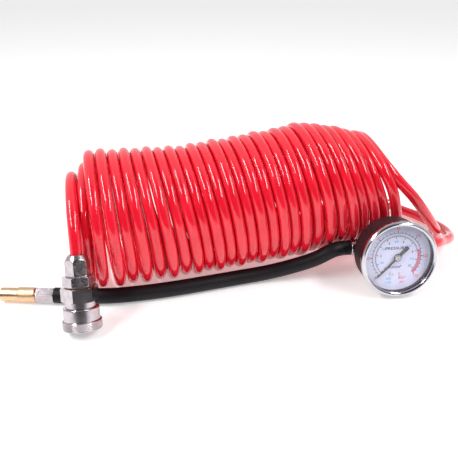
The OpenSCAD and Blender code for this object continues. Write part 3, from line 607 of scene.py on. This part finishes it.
def bored_adapter():
    """The adapter between the body and the hose: a thread, a hexagon, a thread for the nut and a
    spigot in the hose, bored right through."""
    corner = ADAPTER_AF / 2 / math.cos(math.pi / 6)
    foot, bore_step = 22.3, 25.8
    top = ADAPTER_Z + ADAPTER_LEN
    nut_thread, spigot = top + 6.6, top + 13
    outline = [[3, foot], [6.6, foot], [7, foot + 0.4], [7, ADAPTER_Z], [corner - 0.6, ADAPTER_Z],
               [corner + 0.02, ADAPTER_Z + 0.45], [corner + 0.02, top - 0.45], [corner - 0.6, top],
               [5.4, top], [5.4, nut_thread], [2.5, nut_thread], [2.5, spigot], [1.6, spigot],
               [1.6, bore_step], [3, bore_step]]
    hex_nut("hex_adapter", outline, ADAPTER_AF, 4, COUPLER, "hose_adapter")


def coil_spring(node, radius, wire, low, high, turns):
    """A round wire on a helix between two heights."""
    points_a_turn, wire_sides, clearance = 28, 12, 0.05
    t = np.linspace(0, 1, points_a_turn * turns)
    angle = 2 * np.pi * turns * t
    line = np.stack([radius * np.cos(angle), radius * np.sin(angle),
                     low + wire + (high - low - 2 * wire) * t], -1)
    made = add_piece("coil_" + node, [shell(tube(line, wire, wire_sides))], "line", bright_steel, COUPLER)
    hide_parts(node)
    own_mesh(made)


bored_adapter()
coil_spring("valve_spring", radius=4.3, wire=0.33, low=16.9, high=22.2, turns=4)
coil_spring("sleeve_spring", radius=8.65, wire=0.42, low=7.03, high=13.67, turns=3)

# ---------- gauge ----------
CASE_R, CASE_IR, CASE_RIM, CASE_BACK = 26.0, 24.8, 20.8, 1.5
STEM_HOLE_R, CASE_BEND = 6.1, 3
BEZEL_R, BEZEL_BACK, GAUGE_DEPTH = 27.5, 19.6, 25.0
LENS_R, LENS_Z, LENS_T = 25.9, 21.3, 1.3
DIAL_FACE = 17.1
PRINT_T = 0.03


def round_piece(name, outline, radius, body, material, where, replaced, sides=160):
    """A turned piece with a bore: its closed outline, with rounded corners, carried round the axis."""
    rings = turned(rounded(outline, radius), sides)
    made = add_piece(name, [shell(rings, wrap_rows=True)], body, material, where, 35)
    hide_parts(replaced)


def gauge_housing():
    """The drawn case, the rolled bezel over its rim and the flat lens between them."""
    arc = [[CASE_R - CASE_BEND + CASE_BEND * math.sin(a), CASE_BEND - CASE_BEND * math.cos(a)]
           for a in np.linspace(0, np.pi / 2, 9)]
    case = [[STEM_HOLE_R, 0]] + arc + [[CASE_R, CASE_RIM], [CASE_IR, CASE_RIM], [CASE_IR, CASE_BACK],
                                       [STEM_HOLE_R, CASE_BACK]]
    round_piece("drawn_case", case, 0.2, "line", case_paint, GAUGE, "gauge_case")
    lip_r, lip_z = CASE_IR - 0.6, LENS_Z + LENS_T + 0.02
    bezel = [[CASE_R + 0.05, BEZEL_BACK], [BEZEL_R - 0.9, BEZEL_BACK], [BEZEL_R, BEZEL_BACK + 1.2],
             [BEZEL_R, GAUGE_DEPTH - 1.6], [BEZEL_R - 1.5, GAUGE_DEPTH], [lip_r + 0.6, GAUGE_DEPTH - 0.3],
             [lip_r, GAUGE_DEPTH - 0.9], [lip_r, lip_z], [CASE_R + 0.05, lip_z]]
    round_piece("rolled_bezel", bezel, 0.7, "line", bezel_chrome, GAUGE, "gauge_bezel",
                sides=200)
    rim = [[LENS_R - 0.3, LENS_Z], [LENS_R, LENS_Z + 0.3], [LENS_R, LENS_Z + LENS_T - 0.3],
           [LENS_R - 0.3, LENS_Z + LENS_T]]
    lens = add_piece("flat_lens", [shell(turned(rim, 160))], "line", lens_plastic, GAUGE)
    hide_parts("gauge_lens")


def hub_cap():
    """The hub that holds the needle on its arbor, a low dome with the arbor's end in its middle."""
    outline = [[0.82, 19.0], [2.1, 19.0], [2.25, 19.25], [1.9, 19.75], [1.2, 19.95], [0.82, 19.8]]
    round_piece("hub_cap", outline, 0.1, "needle", bright_steel, GAUGE, "needle_hub", sides=64)


def flat_arc(radius, width, start, end):
    """A thin printed band on the dial between two angles in degrees."""
    angle = np.radians(np.linspace(start, end, max(2, round(abs(end - start) / 2))))[:, None]
    r = np.array([[radius - width / 2, radius + width / 2, radius + width / 2, radius - width / 2]])
    z = np.array([[0, 0, PRINT_T, PRINT_T]]) + DIAL_FACE + 0 * angle
    return np.stack([r * np.cos(angle), r * np.sin(angle), z], -1)


def tick(inner, outer, degrees, width):
    """A thin printed line on the dial that points at its middle."""
    a = math.radians(degrees)
    along, across = np.array([math.cos(a), math.sin(a)]), np.array([-math.sin(a), math.cos(a)]) * width / 2
    corners = np.array([inner * along - across, outer * along - across, outer * along + across,
                        inner * along + across])
    both = np.array([np.column_stack([corners, np.full(4, z)]) for z in (DIAL_FACE, DIAL_FACE + PRINT_T)])
    return shell(both)


SIZE_TO_CAPITAL = 1.4


def lettering(words, x, y, height, squeeze=1.0):
    """Words as a thin solid whose middle is at x, y on the dial."""
    curve = bpy.data.curves.new("letters", "FONT")
    curve.body = words
    curve.align_x, curve.align_y = "CENTER", "CENTER"
    curve.size = height * SIZE_TO_CAPITAL
    curve.resolution_u = 3
    curve.extrude = PRINT_T / 2
    curve.offset = 0.03 * height
    drawn = bpy.data.objects.new("letters", curve)
    bpy.context.scene.collection.objects.link(drawn)
    bpy.context.view_layer.update()
    mesh = bpy.data.meshes.new_from_object(drawn.evaluated_get(bpy.context.evaluated_depsgraph_get()))
    bpy.data.objects.remove(drawn)
    solid = bmesh.new()
    solid.from_mesh(mesh)
    bmesh.ops.remove_doubles(solid, verts=solid.verts, dist=1e-4)
    bmesh.ops.recalc_face_normals(solid, faces=solid.faces)
    solid.to_mesh(mesh)
    solid.free()
    flat = np.zeros(len(mesh.vertices) * 3)
    mesh.vertices.foreach_get("co", flat)
    points = flat.reshape(-1, 3) * [squeeze, 1, 1] + [x, y, DIAL_FACE + PRINT_T / 2]
    return points, [list(p.vertices) for p in mesh.polygons]


SCALE_FROM, SCALE_TO = 225, -45
OUTER_END, INNER_UNIT = 150, 26.1
OUTER_R, INNER_R, RING_W = 17.6, 15.6, 0.32
OUTER_FIGURES, INNER_FIGURES, HUNDREDS = 20.9, 11.8, 11.3


def dial_print():
    """An outer scale of 0 to 150 over 270 degrees from lower left, and an inner scale of 0 to 10 that ends
    a little before it, with a red zone, generic unit names and the figures of each scale."""
    def outer(value):
        return SCALE_FROM - (SCALE_FROM - SCALE_TO) * value / OUTER_END

    def inner(value):
        return SCALE_FROM - INNER_UNIT * value

    def around(words, radius, degrees, height, squeeze=1.0):
        a = math.radians(degrees)
        return lettering(words, radius * math.cos(a), radius * math.sin(a), height, squeeze)

    black = [shell(flat_arc(radius, RING_W, SCALE_TO, SCALE_FROM)) for radius in (OUTER_R, INNER_R)]
    black += [tick(OUTER_R, 19.4 if v % 25 == 0 else 18.7, outer(v), 0.55 if v % 25 == 0 else 0.44)
              for v in range(0, OUTER_END + 1, 5)]
    black += [tick(13.6 if k % 5 == 0 else 14.8, INNER_R, inner(k / 5), 0.5 if k % 5 == 0 else 0.36)
              for k in range(0, 51)]
    black += [around(str(v), INNER_FIGURES, inner(v), 1.7) for v in range(0, 11, 2)]
    black += [lettering("PRESSURE", -0.8, 6.6, 2.0, 1.3), lettering("kg/cm²", -0.8, -7.2, 2.2, 1.1)]
    red = [shell(flat_arc((OUTER_R + INNER_R) / 2, 1.5, SCALE_TO, 18))]
    red += [around(str(v), OUTER_FIGURES, outer(v), 2.1, 0.9) for v in range(0, OUTER_END + 1, 25)]
    red += [lettering("lb/in²", 4.6, -15.6, 1.9), lettering("psi", 4.6, -18.6, 1.9)]
    blue = [around(str(100 * v), HUNDREDS, inner(v), 1.6, 0.95) for v in range(1, 10, 2)]
    blue += [lettering("kPa", -5.4, -15.8, 1.9), lettering("x100", -5.4, -18.8, 1.7)]
    for name, shells, ink in (("black_print", black, black_ink), ("red_print", red, red_ink),
                              ("blue_print", blue, blue_ink)):
        add_piece(name, shells, "line", ink, GAUGE)


gauge_housing()
hub_cap()
dial_print()


# ---------- tee ----------
def crimped_band():
    """The round ferrule of the rubber hose, with one crimped groove on the tee's side."""
    bore, full, crimped = 3.5, 6.0, 5.6
    outline = [[bore, BAND_Z], [full, BAND_Z], [full, BAND_Z + 2], [crimped, BAND_Z + 3],
               [crimped, BAND_Z + 4.5], [full, BAND_Z + 5.5], [full, BAND_END - 0.6],
               [full - 0.5, BAND_END], [bore, BAND_END]]
    round_piece("crimped_band", outline, 0.3, "line", nickel, TEE_LEFT, "tee_ferrule",
                sides=96)


crimped_band()

# ---------- tyre chuck ----------
CHUCK_R, CHUCK_LEN, CHUCK_STEP = 5.3, 25.0, 12.2
COLLAR_R, COLLAR_TOP = 4.25, 12.55
NECK_R = 2.95
THREAD_R, THREAD_PITCH, THREAD_DEPTH = 3.85, 0.794, 0.22


def chuck_shell():
    """The screw-on body: smooth by its mouth, finely knurled by the hose, threaded inside."""
    around, row, depth = 40, 0.9, 0.13

    def relief(angle, z, r):
        knurled = (r > CHUCK_R - 0.1) * ramp(z - CHUCK_STEP - 0.8, 0.4) * ramp(CHUCK_LEN - 1.4 - z, 0.4)
        threaded = (np.abs(r - THREAD_R) < 0.01) * ramp(z - 0.7, 0.5) * ramp(THREAD_LEN - 0.4 - z, 0.5)
        thread = 0.5 + 0.5 * np.cos(angle - 2 * np.pi * z / THREAD_PITCH)
        return THREAD_DEPTH * threaded * thread - depth * knurled * diamonds(angle, z, around, row)

    outline = [[THREAD_R + 0.3, 0], [CHUCK_R - 0.9, 0], [CHUCK_R - 0.4, 0.5],
               [CHUCK_R - 0.4, CHUCK_STEP - 0.2], [CHUCK_R, CHUCK_STEP + 0.2], [CHUCK_R, CHUCK_LEN - 0.8],
               [CHUCK_R - 0.8, CHUCK_LEN], [NECK_R, CHUCK_LEN], [NECK_R, COLLAR_TOP],
               [COLLAR_R, COLLAR_TOP], [COLLAR_R, THREAD_LEN], [THREAD_R, THREAD_LEN], [THREAD_R, 0.3]]
    rings = turned(filled(rounded(outline, 0.12, steps=3), 0.16), around * 6, relief)
    made = add_piece("screw_on_body", [shell(rings, wrap_rows=True)], "chuck", chuck_brass, CHUCK, 50)
    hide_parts("chuck_body")


def hex_ferrule():
    """The hexagonal ferrule crimped on the rubber hose, with both ends bevelled."""
    corner, bore = 5.7, 2.9
    flats_from, flats_to = 25.9, 37.2
    outline = [[bore, FERRULE_Z], [corner - 0.5, FERRULE_Z], [corner + 0.02, flats_from],
               [corner + 0.02, flats_to], [corner - 0.5, FERRULE_END], [bore, FERRULE_END]]
    hex_nut("hex_ferrule", outline, 2 * corner * math.cos(math.pi / 6), 0, CHUCK, "chuck_ferrule")


chuck_shell()
hex_ferrule()

# ---------- materials of the pieces carried over ----------
CARRIED = {
    coupler_nickel: ["coupler_body"],
    nickel: ["tee_body"],
    fibre: ["adapter_washer"],
    bright_steel: ["retaining_ring", "lock_ball_1", "lock_ball_2", "lock_ball_3", "lock_ball_4",
                   "dial_screw_1", "dial_screw_2", "needle_stop"],
    seal_rubber: ["plug_seal", "valve_seal", "lens_gasket", "chuck_washer"],
    brass: ["valve_poppet", "pinion_arbor", "hairspring", "sector_gear", "tip_link",
            "movement_plate_front", "movement_plate_back", "movement_pillars", "bourdon_tube",
            "gauge_socket", "chuck_stem", "valve_depressor"],
    dial_paint: ["gauge_dial"],
    needle_paint: ["gauge_needle"],
}
for material, nodes in CARRIED.items():
    for node in nodes:
        mesh = bpy.data.objects[node].data
        mesh.materials.clear()
        mesh.materials.append(material)
